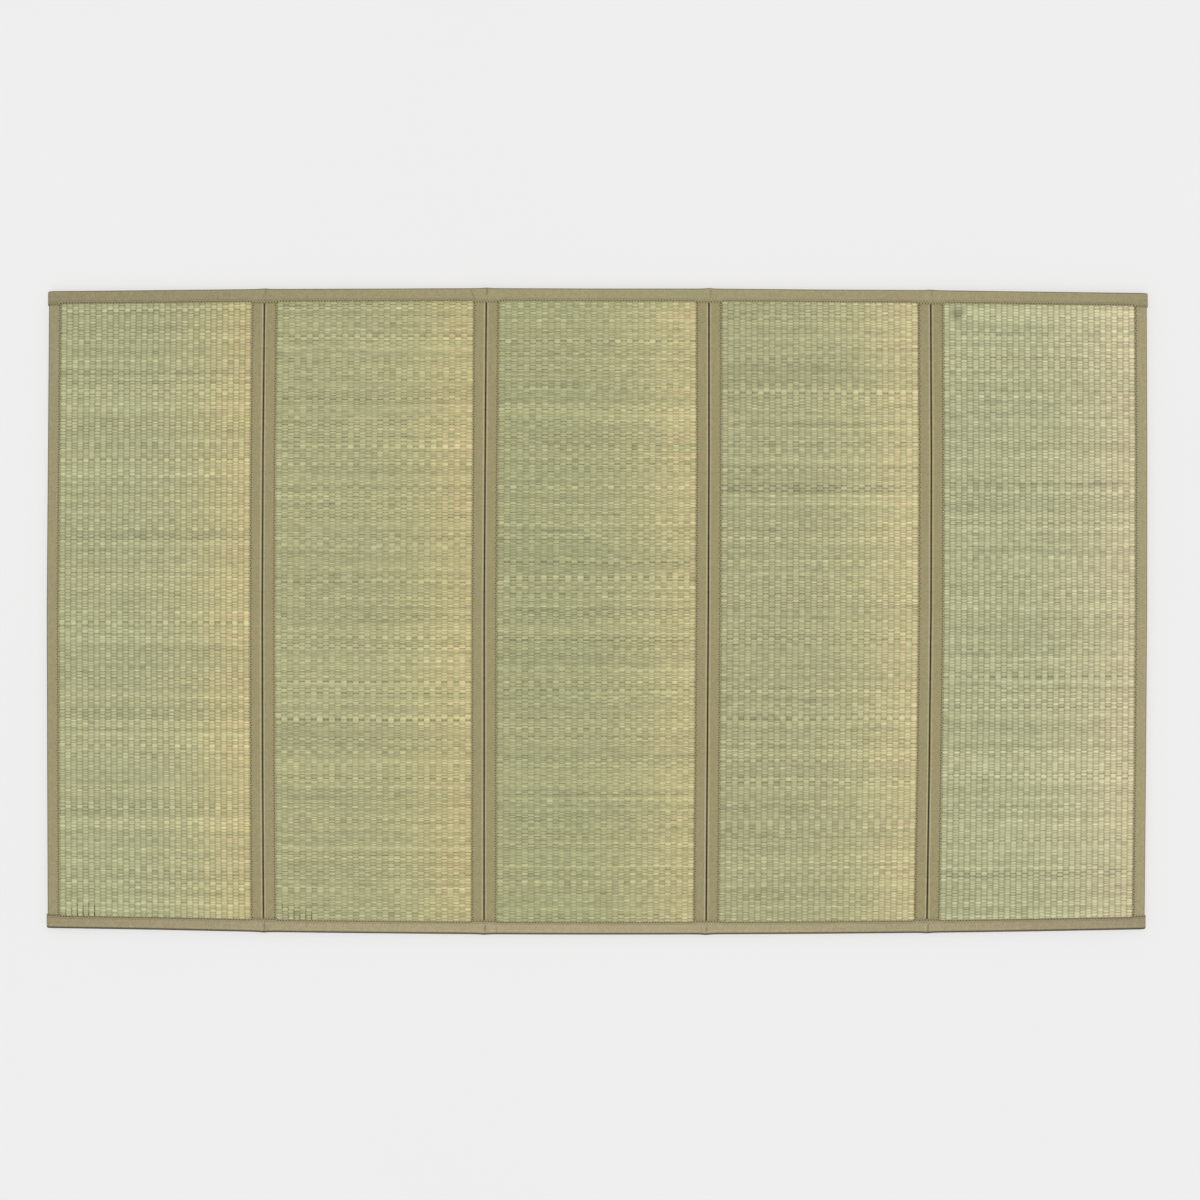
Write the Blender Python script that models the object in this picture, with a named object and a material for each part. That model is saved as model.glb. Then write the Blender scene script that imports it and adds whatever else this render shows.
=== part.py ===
"""A folding rush mat of five panels, laid open and flat.

Each panel is a slab of woven rush whose ribs run the short way of the mat. A woven tape is folded over each long
edge of a panel. One more tape is folded over all five panels at each end of them, over the other tapes' ends, and
is the cloth hinge that holds the panels together. Between neighbouring panels a narrow slit stays open.

+X runs along the mat, +Y across it and +Z up. The origin is on the floor, under the middle of the mat.
"""

from math import cos, exp, pi, sin

import bmesh
import bpy

MM = 0.001

# The mat's own sizes
PANELS = 5
RIBS = 33  # on one panel
CREST_Z = 9.4 * MM  # top of a rush rib
GROOVE_Z = 8.8 * MM  # between two ribs
RIB_PROFILE = ((0.0, GROOVE_Z), (0.27, CREST_Z), (0.73, CREST_Z))  # share of the pitch, and z

# The tapes
CLOTH = 1.0 * MM  # thickness
GAP = 0.3 * MM  # between pieces that touch
SIDE_WIDTH = 16.5 * MM  # from the fold to the sewn edge
END_WIDTH = 17.8 * MM
SIDE_HEIGHT = 10.0 * MM  # outside of the folded tape
END_HEIGHT = CREST_Z + GAP + CLOTH
SQUEEZED_HEIGHT = END_HEIGHT - 2 * (CLOTH + GAP) - 0.1 * MM  # a side tape where an end tape holds it
SQUEEZED_Z = CLOTH + GAP
SQUEEZED_WIDTH = END_WIDTH + 1.0 * MM  # length of a side tape that stays pressed down, from the mat's end
SQUEEZE_RUN = 5.0 * MM  # length over which it rises from there to its own height
FOLD_SHARE = 0.45  # radius of a fold, as a share of the tape's height
FOLD_STEPS = 3  # faces on each quarter of a fold
PANEL_FLAT = SIDE_WIDTH + GAP  # width of a panel's flat margin, from the fold of its tape
SPANS = 4  # faces across a panel's underside and along its ends, which follow the mat's curved outline
SHARP_ANGLE = 0.6  # edges that turn more than this look sharp

# The slits and the cloth hinges over their ends
SLIT = 1.2 * MM  # between two side tapes at half height
HINGE_BULGE = 1.0 * MM  # the end tape stands out at a hinge
HINGE_BULGE_RUN = 5.0 * MM
HINGE_CREASE = 1.3 * MM  # depth of the crease over a slit
HINGE_CREASE_RUN = 2.4 * MM  # from the crease to the cloth pushed up beside it
HINGE_PUCKER = 0.25 * MM  # height of the cloth pushed up beside it
HINGE_STATIONS = [sign * away for away in (18.0 * MM, 6.0 * MM, HINGE_CREASE_RUN) for sign in (-1, 1)] + [0.0]
END_CAP = 0.9 * MM  # turned-in cloth that closes an end tape
END_CAP_RUN = 2.2 * MM  # from its tip to where the end tape's plain run starts
END_CAP_STEPS = ((0.0, 1.4 * MM), (0.5 * MM, 0.45 * MM), (1.5 * MM, 0.0))  # way in, and how far it is rounded off

# The long edges of the panels as they lie: a row for each place across the mat, in mm
SEAM_COLUMNS = ("y", "left_edge", "hinge_1", "hinge_2", "hinge_3", "hinge_4", "right_edge")
SEAMS = (
    (-430, -750.4, -455.6, -154.5, 148.7, 450.1, 747.6),
    (-215, -751.2, -456.8, -154.4, 150.2, 453.3, 749.6),
    (0, -751.8, -457.3, -154.3, 151.7, 455.8, 751.2),
    (215, -750.2, -456.3, -152.9, 152.6, 456.2, 751.4),
    (430, -748.5, -454.2, -151.4, 152.6, 455.4, 750.6),
)
# The two ends of the panels: a row for each place along the mat, in mm
END_COLUMNS = ("x", "near", "far")
ENDS = (
    (-750, -432.6, 437.1),
    (-604, -434.9, 438.5),
    (-455, -438.0, 440.0),
    (-304, -439.8, 440.6),
    (-152, -441.1, 441.2),
    (0, -441.6, 440.7),
    (151, -441.3, 440.6),
    (303, -440.5, 439.4),
    (453, -439.1, 438.5),
    (600, -437.1, 436.5),
    (750, -434.3, 434.6),
)

# sRGB colours
RUSH_COLOURS = ("B0B183", "B3B485", "ADB081", "B0B080", "BDB890")  # panel 1 to panel 5
SIDE_TAPE_COLOUR = "9C936D"
END_TAPE_COLOUR = "9E9572"
TAPE_ROUGHNESS = 0.85
RUSH_ROUGHNESS = 0.7


def linear(hex_colour):
    """The linear RGBA of an sRGB hex colour."""
    levels = [int(hex_colour[i : i + 2], 16) / 255 for i in (0, 2, 4)]
    return [v / 12.92 if v <= 0.04045 else ((v + 0.055) / 1.055) ** 2.4 for v in levels] + [1.0]


def material(name, hex_colour, roughness):
    finish = bpy.data.materials.new(name)
    finish.use_nodes = True
    shader = finish.node_tree.nodes["Principled BSDF"]
    shader.inputs["Base Color"].default_value = linear(hex_colour)
    shader.inputs["Roughness"].default_value = roughness
    shader.inputs["Metallic"].default_value = 0.0
    return finish


def column(table, columns, name):
    return [row[columns.index(name)] * MM for row in table]


def smooth_curve(knots, values):
    """A function that passes through the values at the knots with no corner, and runs on straight past the last."""
    slopes = []
    for i in range(len(knots)):
        before, after = max(i - 1, 0), min(i + 1, len(knots) - 1)
        slopes.append((values[after] - values[before]) / (knots[after] - knots[before]))

    def curve(at):
        if at <= knots[0]:
            return values[0] + slopes[0] * (at - knots[0])
        if at >= knots[-1]:
            return values[-1] + slopes[-1] * (at - knots[-1])
        i = max(i for i in range(len(knots) - 1) if knots[i] <= at)
        run = knots[i + 1] - knots[i]
        t = (at - knots[i]) / run
        return (
            values[i] * (1 + 2 * t) * (1 - t) ** 2
            + slopes[i] * run * t * (1 - t) ** 2
            + values[i + 1] * t * t * (3 - 2 * t)
            + slopes[i + 1] * run * t * t * (t - 1)
        )

    return curve


SEAM_AT = [  # x of the left edge, the four hinges and the right edge, each as a function of y
    smooth_curve(column(SEAMS, SEAM_COLUMNS, "y"), column(SEAMS, SEAM_COLUMNS, name)) for name in SEAM_COLUMNS[1:]
]
END_AT = {  # y of the near and the far end, each as a function of x
    side: smooth_curve(column(ENDS, END_COLUMNS, "x"), column(ENDS, END_COLUMNS, side)) for side in END_COLUMNS[1:]
}
HINGE_X = {side: [SEAM_AT[i](END_AT[side](0)) for i in range(1, PANELS)] for side in END_AT}
INWARD = {"near": 1, "far": -1}  # from an end of the mat to its middle, along Y


END_TIPS = {  # x of an end tape's own two ends, beyond the outermost side tapes
    side: (SEAM_AT[0](END_AT[side](0)) - GAP - END_CAP, SEAM_AT[PANELS](END_AT[side](0)) + GAP + END_CAP)
    for side in END_AT
}


def middle(values):
    return (min(values) + max(values)) / 2


# The mat's own middle, which becomes the origin
EDGE_ROWS = column(SEAMS, SEAM_COLUMNS, "y")
EDGE_X = [SEAM_AT[edge](y) for edge in (0, PANELS) for y in EDGE_ROWS[1:-1]]
MIDDLE_X = middle([*EDGE_X, *END_TIPS["near"], *END_TIPS["far"]])
MIDDLE_Y = middle([END_AT[side](x) - INWARD[side] * HINGE_BULGE for side in END_AT for x in HINGE_X[side]])


def tape_section(width, height, low):
    """The folded tape's outline as (depth, z) points: depth 0 is at the fold, and the legs end at depth width.

    The outer points run from the lower leg's tip round the fold to the upper leg's, and the inner ones back."""
    radius = FOLD_SHARE * height
    outer = [(width, low)]
    for start, centre_z in ((-pi / 2, low + radius), (pi, low + height - radius)):
        for i in range(FOLD_STEPS + 1):
            turn = start - i * pi / 2 / FOLD_STEPS
            outer.append((radius + radius * cos(turn), centre_z + radius * sin(turn)))
    outer.append((width, low + height))
    lower, upper = low + CLOTH, low + height - CLOTH
    inner = [
        (width, upper),
        (radius, upper),
        (CLOTH, low + height - radius),
        (CLOTH, low + radius),
        (radius, lower),
        (width, lower),
    ]
    return outer, inner


def core_section(height, low):
    """What fills such a tape with the gap all round: (depth, upper z, lower z) at its nose and at its shoulder."""
    radius = FOLD_SHARE * height
    eased = GAP * (2**0.5 - 1)  # where two offset lines at 45 degrees meet
    nose = (CLOTH + GAP, low + height - radius - eased, low + radius + eased)
    shoulder = (radius + eased, low + height - CLOTH - GAP, low + CLOTH + GAP)
    return nose, shoulder


END_NOSE, END_SHOULDER = core_section(END_HEIGHT, 0.0)
ACROSS = {"left": 1, "right": -1}  # from a panel's edge to its middle, along X


def from_end(side, x, distance):
    """y of a point this far in from an end of the mat."""
    return END_AT[side](x) + INWARD[side] * distance


def side_rows(nearest):
    """Where a side tape's section is set, from its near end to its far end: (end, distance in from it, height, low).

    Away from the ends of the mat the row has no end, and the distance is y itself. nearest is where the rows start."""
    near = [
        ("near", nearest, SQUEEZED_HEIGHT, SQUEEZED_Z),
        ("near", SQUEEZED_WIDTH, SQUEEZED_HEIGHT, SQUEEZED_Z),
        ("near", SQUEEZED_WIDTH + SQUEEZE_RUN, SIDE_HEIGHT, 0.0),
    ]
    far = [("far", *row[1:]) for row in reversed(near)]
    return near + [(None, y, SIDE_HEIGHT, 0.0) for y in EDGE_ROWS[1:-1]] + far


def edge_x(panel, hand, y):
    """x of a panel's tape at its fold, on the left or right hand."""
    outermost = (panel, hand) in ((0, "left"), (PANELS - 1, "right"))
    inset = 0.0 if outermost else SLIT / 2
    return SEAM_AT[panel + (hand == "right")](y) + ACROSS[hand] * inset


def edge_point(panel, hand, row, depth):
    """(x, y) of a point at this depth from the fold of a side tape, in one of its rows."""
    side, distance = row[:2]
    y = distance if side is None else from_end(side, edge_x(panel, hand, 0.0), distance)
    x = edge_x(panel, hand, y) + ACROSS[hand] * depth
    return x, (y if side is None else from_end(side, x, distance))


def mesh_object(name, bm, finish):
    """The finished object. Its points are moved so that the mat's middle is the origin."""
    bmesh.ops.translate(bm, verts=bm.verts, vec=(-MIDDLE_X, -MIDDLE_Y, 0.0))
    bmesh.ops.recalc_face_normals(bm, faces=bm.faces)
    mesh = bpy.data.meshes.new(name)
    bm.to_mesh(mesh)
    bm.free()
    mesh.shade_smooth()
    mesh.set_sharp_from_angle(angle=SHARP_ANGLE)
    mesh.materials.append(finish)
    bpy.context.collection.objects.link(bpy.data.objects.new(name, mesh))


def skin(bm, rings):
    """Faces between each closed ring of points and the next."""
    for first, second in zip(rings, rings[1:]):
        for i, j in enumerate([*range(1, len(first)), 0]):
            bm.faces.new((first[i], first[j], second[j], second[i]))


def zip_up(bm, first, second):
    """Triangles between two open rows of points that may differ in number, matched by their share of the way."""
    i, j = 0, 0
    last_i, last_j = len(first) - 1, len(second) - 1
    while i < last_i or j < last_j:
        if j == last_j or (i < last_i and (i + 1) * last_j <= (j + 1) * last_i):
            bm.faces.new((first[i], first[i + 1], second[j]))
            i += 1
        else:
            bm.faces.new((first[i], second[j + 1], second[j]))
            j += 1


def side_binding(panel, hand):
    """A tape folded over one long edge of a panel. Its ends are pressed flatter, where the end tapes hold them."""
    bm = bmesh.new()
    rings = []
    for row in side_rows(END_SHOULDER[0] + GAP):
        outer, inner = tape_section(SIDE_WIDTH, *row[2:])
        rings.append([bm.verts.new((*edge_point(panel, hand, row, depth), z)) for depth, z in outer + inner])
    skin(bm, rings)
    bm.faces.new(rings[0])
    bm.faces.new(rings[-1])
    name = f"side_binding_{panel + 1}_{hand}"
    mesh_object(name, bm, material(name, SIDE_TAPE_COLOUR, TAPE_ROUGHNESS))


def hinge_bulge(x, side):
    """How far an end tape stands out beyond the panels' ends, which it does at each hinge."""
    return HINGE_BULGE * sum(exp(-(((x - hinge) / HINGE_BULGE_RUN) ** 2)) for hinge in HINGE_X[side])


def end_height(x, side):
    """Height of an end tape: it dips into a crease over each slit, with the cloth pushed up on both sides."""
    away = min(abs(x - hinge) for hinge in HINGE_X[side]) / HINGE_CREASE_RUN
    return END_HEIGHT - HINGE_CREASE * max(0.0, 1 - away) + HINGE_PUCKER * max(0.0, 1 - abs(away - 1))


def end_stations(side):
    """Places along an end tape where its section is set, from left to right."""
    edges = [SEAM_AT[0](0.0), *HINGE_X[side], SEAM_AT[PANELS](0.0)]
    marks = [left + (right - left) * i / SPANS for left, right in zip(edges, edges[1:]) for i in range(1, SPANS)]
    return sorted(marks + [hinge + offset for hinge in HINGE_X[side] for offset in HINGE_STATIONS])


def end_ring(bm, side, x, inset=0.0, faces="both"):
    """An end tape's section at x, as points. inset makes it smaller all round but at the sewn edge."""
    bulge = hinge_bulge(x, side) - inset
    outer, inner = tape_section(END_WIDTH + bulge, end_height(x, side) - 2 * inset, inset)
    section = {"outer": outer, "inner": inner, "both": outer + inner}[faces]
    return [bm.verts.new((x, from_end(side, x, depth - bulge), z)) for depth, z in section]


def turned_in_end(bm, side, hand):
    """Closes an end tape at the mat's left or right edge, and returns the ring where its plain run starts."""
    inwards = ACROSS[hand]
    tip = END_TIPS[side][hand == "right"]
    caps = [end_ring(bm, side, tip + inwards * way, inset, "outer") for way, inset in END_CAP_STEPS]
    pocket = end_ring(bm, side, tip + inwards * END_CAP, faces="inner")
    start = end_ring(bm, side, tip + inwards * END_CAP_RUN)
    caps.append(start[: len(caps[0])])
    inner = start[len(caps[0]) :]
    for first, second in [*zip(caps, caps[1:]), (pocket, inner)]:
        for i in range(len(first) - 1):
            bm.faces.new((first[i], first[i + 1], second[i + 1], second[i]))
    bm.faces.new(caps[0])
    bm.faces.new(pocket)
    upper, lower = [cap[-1] for cap in caps], [cap[0] for cap in reversed(caps)]
    bm.faces.new([*upper, inner[0], pocket[0], pocket[-1], inner[-1], *lower])  # the sewn edge's face
    return start


def end_binding(side):
    """The tape folded over all five panels' ends, which is the hinge between them."""
    bm = bmesh.new()
    first = turned_in_end(bm, side, "left")
    last = turned_in_end(bm, side, "right")
    skin(bm, [first, *[end_ring(bm, side, x) for x in end_stations(side)], last])
    name = f"end_binding_{side}"
    mesh_object(name, bm, material(name, END_TAPE_COLOUR, TAPE_ROUGHNESS))


def panel_edge(bm, panel, hand):
    """Faces of a panel's long edge, inside its side tape. Returns its rows of points, from the top round to below."""
    rows = side_rows(END_SHOULDER[0])
    lines = [[] for _ in range(6)]
    for row in rows:
        nose, shoulder = core_section(*row[2:])
        tip_row = row
        if row in (rows[0], rows[-1]):  # the corner of the slab, inside both tapes
            tip_row = (row[0], END_NOSE[0])
            nose = (nose[0], min(nose[1], END_NOSE[1]), max(nose[2], END_NOSE[2]))
        places = (
            (row, PANEL_FLAT, shoulder[1]),
            (row, shoulder[0], shoulder[1]),
            (tip_row, nose[0], nose[1]),
            (tip_row, nose[0], nose[2]),
            (row, shoulder[0], shoulder[2]),
            (row, PANEL_FLAT, shoulder[2]),
        )
        for line, (at, depth, z) in zip(lines, places):
            line.append(bm.verts.new((*edge_point(panel, hand, at, depth), z)))
    for line, after in zip(lines, lines[1:]):
        zip_up(bm, line, after)
    return lines


def field_line(bm, panel, share, levels):
    """A row of points along a panel's field, from end to end, at a share of the way across it.

    levels holds (distance in from the mat's end, z), from the end inwards, and the last z is that of the field."""

    def x_at(y):
        left, right = (edge_x(panel, hand, y) + ACROSS[hand] * (PANEL_FLAT + GAP) for hand in ACROSS)
        return left + (right - left) * share

    def end_points(side):
        found = []
        for distance, z in levels:
            x = x_at(from_end(side, x_at(0.0), distance))
            found.append((x, from_end(side, x, distance), z))
        return found

    between = [(x_at(y), y, levels[-1][1]) for y in EDGE_ROWS[1:-1]]
    return [bm.verts.new(point) for point in end_points("near") + between + end_points("far")[::-1]]


def rush_panel(panel):
    """The woven slab: ribs on its upper face, a plain underside on the floor, thinner edges inside the tapes."""
    bm = bmesh.new()
    left, right = panel_edge(bm, panel, "left"), panel_edge(bm, panel, "right")
    profile = [((rib + part) / RIBS, z) for rib in range(RIBS) for part, z in RIB_PROFILE] + [(1.0, GROOVE_Z)]
    ribs = [field_line(bm, panel, share, [(END_SHOULDER[0], z)]) for share, z in profile]
    steps = [(END_SHOULDER[0], END_SHOULDER[2]), (END_WIDTH + GAP, END_SHOULDER[2]), (END_WIDTH + 2 * GAP, 0.0)]
    floor = [field_line(bm, panel, i / SPANS, steps) for i in range(SPANS + 1)]
    top = [left[0], *ribs, right[0]]
    under = [left[-1], *floor, right[-1]]
    for line, after in [*zip(top, top[1:]), *zip(under, under[1:])]:
        zip_up(bm, line, after)
    for side, n in (("near", 0), ("far", -1)):
        rim_top = [line[n] for line in (left[1], *top, right[1])]
        rim_under = [line[n] for line in (left[-2], *under, right[-2])]
        noses = []
        for tip, z in ((2, END_NOSE[1]), (3, END_NOSE[2])):
            start, end = left[tip][n], right[tip][n]
            xs = [start.co.x + (end.co.x - start.co.x) * i / SPANS for i in range(1, SPANS)]
            between = [bm.verts.new((x, from_end(side, x, END_NOSE[0]), z)) for x in xs]
            noses.append([start, *between, end])
        for line, after in ((rim_top, noses[0]), noses, (noses[1], rim_under)):
            zip_up(bm, line, after)
    name = f"panel_{panel + 1}"
    mesh_object(name, bm, material(name, RUSH_COLOURS[panel], RUSH_ROUGHNESS))


for existing in list(bpy.data.objects):
    bpy.data.objects.remove(existing, do_unlink=True)
for number in range(PANELS):
    rush_panel(number)
    side_binding(number, "left")
    side_binding(number, "right")
end_binding("near")
end_binding("far")
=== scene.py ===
# %% [markdown]
# A folding floor mat of woven rush, laid open and flat. Five slabs of woven rush lie side by side. A
# cloth tape is folded over each long edge of a slab, and one long tape at each end of the mat holds all
# five slabs and is the hinge between them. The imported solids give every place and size. This lesson
# dresses them: first the light and the camera, then the rush, the folded tapes and the sewing.

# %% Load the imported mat
from functools import partial
from math import pi, radians
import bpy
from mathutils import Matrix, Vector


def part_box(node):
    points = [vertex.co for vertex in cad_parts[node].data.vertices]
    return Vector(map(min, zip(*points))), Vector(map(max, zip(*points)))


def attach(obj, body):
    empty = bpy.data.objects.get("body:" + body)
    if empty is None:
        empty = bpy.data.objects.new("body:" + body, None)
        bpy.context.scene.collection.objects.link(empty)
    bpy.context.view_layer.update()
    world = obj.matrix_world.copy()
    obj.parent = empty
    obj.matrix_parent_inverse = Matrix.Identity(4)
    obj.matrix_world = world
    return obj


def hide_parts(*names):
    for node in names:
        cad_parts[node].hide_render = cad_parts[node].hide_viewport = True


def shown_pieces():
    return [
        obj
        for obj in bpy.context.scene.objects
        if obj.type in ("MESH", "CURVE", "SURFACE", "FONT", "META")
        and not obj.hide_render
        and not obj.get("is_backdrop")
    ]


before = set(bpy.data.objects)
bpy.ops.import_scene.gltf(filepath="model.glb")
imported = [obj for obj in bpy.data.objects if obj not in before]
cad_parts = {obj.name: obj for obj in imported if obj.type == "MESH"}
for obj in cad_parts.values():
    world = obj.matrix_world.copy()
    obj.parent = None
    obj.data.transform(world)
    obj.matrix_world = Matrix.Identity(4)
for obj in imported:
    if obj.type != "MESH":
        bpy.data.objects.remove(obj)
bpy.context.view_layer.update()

from types import SimpleNamespace

import bmesh
import bpy
import numpy as np
from mathutils import Vector

MM = 0.001
PANELS = 5
INTO_PANEL = {"left": 1, "right": -1}  # the way along X from a panel's long edge to its middle
INTO_MAT = {"near": 1, "far": -1}  # the way along Y from an end of the mat to its middle

# %% [markdown]
# The photograph looks straight down on the mat from far away, so a camera high above it with a long lens
# gives the same picture. One pixel of the photograph is 1.365 mm on the mat, which sets the lens, and the
# mat lies a little below and to the left of the picture's middle, which sets the camera's place.

# %% The camera
PHOTO_SIDE = 1200  # pixels
PIXEL = 1.365 * MM
MAT_MIDDLE_PIXEL = (597.15, 611.33)
CAMERA_HEIGHT = 3.2
WEAVE_TOP = 9.4 * MM
SENSOR = 36.0  # mm


def pixel_x(pixel):
    """X on the mat of a column of the photograph."""
    return (pixel - MAT_MIDDLE_PIXEL[0]) * PIXEL


def pixel_y(pixel):
    """Y on the mat of a row of the photograph."""
    return (MAT_MIDDLE_PIXEL[1] - pixel) * PIXEL


bpy.ops.object.select_all(action="DESELECT")
bpy.ops.object.camera_add(location=(pixel_x(PHOTO_SIDE / 2), pixel_y(PHOTO_SIDE / 2), CAMERA_HEIGHT))
camera = bpy.context.object
camera.name = "camera"
camera.rotation_euler = (0, 0, 0)
camera.data.sensor_width = SENSOR
camera.data.lens = SENSOR * (CAMERA_HEIGHT - WEAVE_TOP) / (PHOTO_SIDE * PIXEL)
camera.data.clip_end = 100
bpy.context.scene.camera = camera
print(f"camera {CAMERA_HEIGHT} m up with a {camera.data.lens:.1f} mm lens")

# %% [markdown]
# A material is a tree of nodes. One small function adds a node with its settings and its links, so a
# finish can be read from top to bottom like a recipe. Colours are written as sRGB hex values, as they are
# picked from a picture, and one function turns them into the linear light that the shader works in.


# %% Helpers for materials
def linear(hex_colour):
    """The linear RGBA of an sRGB hex colour."""
    levels = [int(hex_colour[i : i + 2], 16) / 255 for i in (0, 2, 4)]
    return [v / 12.92 if v <= 0.04045 else ((v + 0.055) / 1.055) ** 2.4 for v in levels] + [1.0]


def add(tree, kind, inputs=(), **settings):
    """Adds a shader node. Each input, by name or in order, is a plain value or the output of another node."""
    node = tree.nodes.new("ShaderNode" + kind)
    for name, value in settings.items():
        setattr(node, name, value)
    named = inputs if isinstance(inputs, dict) else dict(enumerate(inputs))
    for socket, value in named.items():
        if isinstance(value, bpy.types.Node):
            value = next(output for output in value.outputs if output.enabled)
        if isinstance(value, bpy.types.NodeSocket):
            tree.links.new(value, node.inputs[socket])
        else:
            node.inputs[socket].default_value = value
    return node


def new_finish(name, roughness, specular=0.5):
    """A material with its shader's plain numbers set: (material, node tree, shader)."""
    finish = bpy.data.materials.new(name)
    finish.use_nodes = True
    tree = finish.node_tree
    shader = tree.nodes["Principled BSDF"]
    shader.inputs["Roughness"].default_value = roughness
    shader.inputs["Specular IOR Level"].default_value = specular
    return finish, tree, shader


# %% [markdown]
# The mat lies on a pale paper sweep. Its outer edges look dark where the cloth turns down, yet it throws
# almost no shadow, so its light comes from nearly straight above: one large lamp, a little to the right
# and to the far side. A white sky and a weak second lamp fill the rest. Colours are shown as they are,
# without a film curve, because the photograph is a plain catalogue one.

# %% Floor and light
FLOOR_SIDE = 160.0
FLOOR_DROP = 0.2 * MM  # keeps the floor from lying in the same plane as the mat's underside
SKY_STRENGTH = 0.347
LAMPS = (  # strength, height above the horizon and compass angle in degrees, and softness in degrees
    ("key", 2.02, 80, 60, 9),
    ("fill", 0.16, 55, 230, 60),
)

bpy.ops.mesh.primitive_plane_add(size=FLOOR_SIDE, location=(0, 0, -FLOOR_DROP))
floor = bpy.context.object
floor.name = "floor"
floor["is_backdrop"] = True
# Matt white paper, with cloudy differences too faint to see as a pattern
paper, tree, shader = new_finish("matt paper sweep", 0.9, 0.2)
place = add(tree, "TexCoord")
mottle = add(tree, "TexNoise", {"Vector": place.outputs["Object"], "Scale": 1.3, "Detail": 2.0})
shade = add(tree, "ValToRGB", {"Fac": mottle.outputs["Fac"]})
shade.color_ramp.elements[0].color = linear("EBEBEB")
shade.color_ramp.elements[1].color = linear("EFEEEE")
tree.links.new(shade.outputs["Color"], shader.inputs["Base Color"])
floor.data.materials.append(paper)

sky = bpy.data.worlds.new("white sky")
sky.use_nodes = True
sky.node_tree.nodes["Background"].inputs["Color"].default_value = (1, 1, 1, 1)
sky.node_tree.nodes["Background"].inputs["Strength"].default_value = SKY_STRENGTH
bpy.context.scene.world = sky
for name, strength, height, compass, softness in LAMPS:
    turned = (radians(90 - height), 0, radians(180 - compass))
    bpy.ops.object.light_add(type="SUN", location=(0, 0, 2), rotation=turned)
    bpy.context.object.name = name
    bpy.context.object.data.energy = strength
    bpy.context.object.data.angle = radians(softness)
bpy.context.scene.view_settings.view_transform = "Standard"
print("lit by a white sky and", len(LAMPS), "soft lamps")

# %% [markdown]
# Everything new has to lie where its solid lies. So the outlines are measured from the solids: a plane
# cuts a solid's edges, and the furthest cut point tells where its surface is. A few dozen such cuts give
# a curve.


# %% Measuring the solids
def solid_edges(node):
    """Both ends of every edge of a solid, as an array."""
    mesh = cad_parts[node].data
    points = np.empty(len(mesh.vertices) * 3)
    mesh.vertices.foreach_get("co", points)
    pairs = np.empty(len(mesh.edges) * 2, int)
    mesh.edges.foreach_get("vertices", pairs)
    return points.reshape(-1, 3)[pairs.reshape(-1, 2)]


EDGES = {node: solid_edges(node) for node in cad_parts}
X, Y, Z = range(3)
CUT_MARGIN = 0.3 * MM  # the first and last cut lie this far inside the solid


def outline(node, along, out, way, spacing=5 * MM, soften=0):
    """A function: how far the solid reaches on one side, at a place along it.

    along and out are axes, way is -1 or 1, and soften rounds off corners over that many cuts."""
    low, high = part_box(node)
    steps = int((high[along] - low[along]) / spacing) + 2
    marks = np.linspace(low[along] + CUT_MARGIN, high[along] - CUT_MARGIN, steps)
    first, last = EDGES[node][:, 0], EDGES[node][:, 1]
    reach = []
    for mark in marks:
        crossed = (first[:, along] - mark) * (last[:, along] - mark) < 0
        a, b = first[crossed], last[crossed]
        share = (mark - a[:, along]) / (b[:, along] - a[:, along])
        reach.append(way * (way * (a[:, out] + share * (b[:, out] - a[:, out]))).max())
    if soften:
        weights = np.exp(-((np.arange(-3 * soften, 3 * soften + 1) / soften) ** 2) / 2)
        padded = np.pad(reach, 3 * soften, mode="edge")
        reach = np.convolve(padded, weights / weights.sum(), mode="valid")
    return lambda at: np.interp(at, marks, reach)


def bindings(number):
    """The nodes of a panel's two side tapes."""
    return {hand: f"side_binding_{number}_{hand}" for hand in INTO_PANEL}


SIDE_FOLD = {  # x of each side tape's fold, as a function of y
    node: outline(node, Y, X, -INTO_PANEL[hand])
    for number in range(1, PANELS + 1) for hand, node in bindings(number).items()
}
SIDE_EDGE = {  # x of its sewn edge
    node: outline(node, Y, X, INTO_PANEL[hand])
    for number in range(1, PANELS + 1) for hand, node in bindings(number).items()
}
END_FOLD = {end: outline(f"end_binding_{end}", X, Y, -way, 1 * MM, 2) for end, way in INTO_MAT.items()}
END_EDGE = {end: outline(f"end_binding_{end}", X, Y, way, 1 * MM, 2) for end, way in INTO_MAT.items()}
width = [float(abs(SIDE_EDGE[node](0) - SIDE_FOLD[node](0))) for node in SIDE_FOLD]
print(f"side tapes are {1000 * min(width):.1f} to {1000 * max(width):.1f} mm wide")

# %% [markdown]
# Rush is a marsh plant whose dried stalks are 1 to 2 mm thick. On the loom each stalk passes over one
# pair of warp threads and under the next, and its neighbour does the opposite. So the weave has upright
# ribs, a stalk shows in every second rib as a short raised float, and the floats of neighbouring ribs lie
# half a step apart. That could be painted, but then light and shadow would not follow it. Here each float
# is real relief: an array works out the points of every rib, and one closed mesh holds them all, with the
# plain underside and the edges inside the tapes.

# %% Sizes of the weave
RIBS = 33  # on one panel
STALK = 2.15 * MM  # from one stalk to the next
STALK_UNEVEN = 0.40  # spread of the stalks' thicknesses, as a share
FLOAT_PITCH = 2  # in stalks, along one rib
RIB_CREST = (0.25, 0.75)  # where a rib is at its full height, as shares of its width
FLOAT_TOP = 0.34  # a float's flat top reaches this far from its middle, in stalks
GROOVE_Z, GROOVE_UNEVEN = 8.7 * MM, 0.08 * MM  # between two ribs
GAP_Z = 9.05 * MM  # between two floats of one rib
FLOAT_Z, FLOAT_UNEVEN = 9.45 * MM, 0.05 * MM
FLOAT_SWELL = 0.22 * MM  # how much higher or lower a thick or thin stalk lies
PANEL_SEED, WAVE_SEED = 40, 90  # each panel adds its number

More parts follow.
